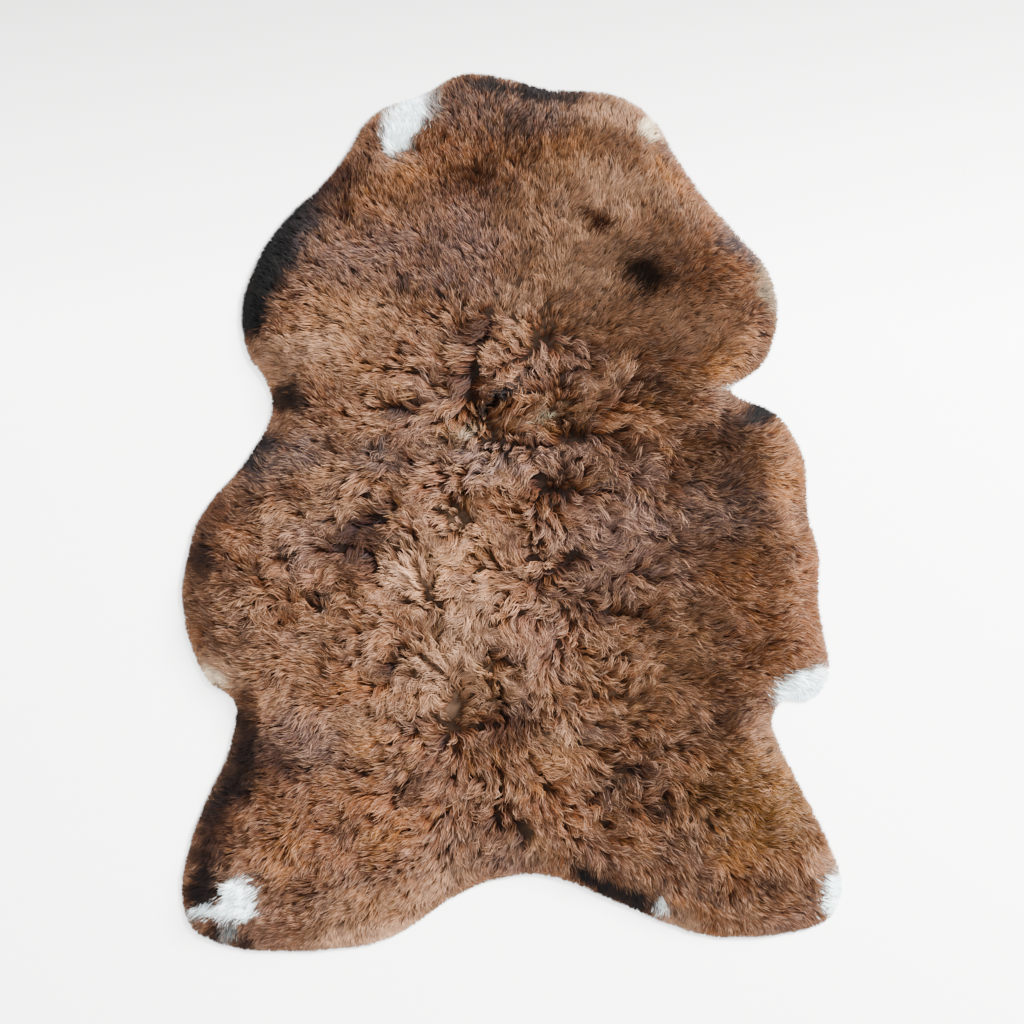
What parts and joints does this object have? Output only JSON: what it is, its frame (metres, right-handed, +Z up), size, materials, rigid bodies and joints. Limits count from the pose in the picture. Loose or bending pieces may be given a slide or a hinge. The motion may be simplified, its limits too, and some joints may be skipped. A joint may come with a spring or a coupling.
{
  "type": "shorn sheepskin",
  "caption": "Whole shorn sheepskin lying flat, wool side up, with a lobed neck, flanks and rump and soft locks round its rim.",
  "frame": {"origin": "on the floor under the middle of the pelt", "axes": "+Y towards the neck end, +X to the right as seen from above, +Z up, out of the wool side"},
  "size_m": [0.7306, 0.9686, 0.04],
  "materials": {
    "fleece": "soft brown mottled wool, matte, with rust, tan, dark brown and a few white patches",
    "hide": "pale suede flesh side, matte"
  },
  "bodies": {
    "root": {"sheepskin": "fleece"}
  },
  "joints": []
}
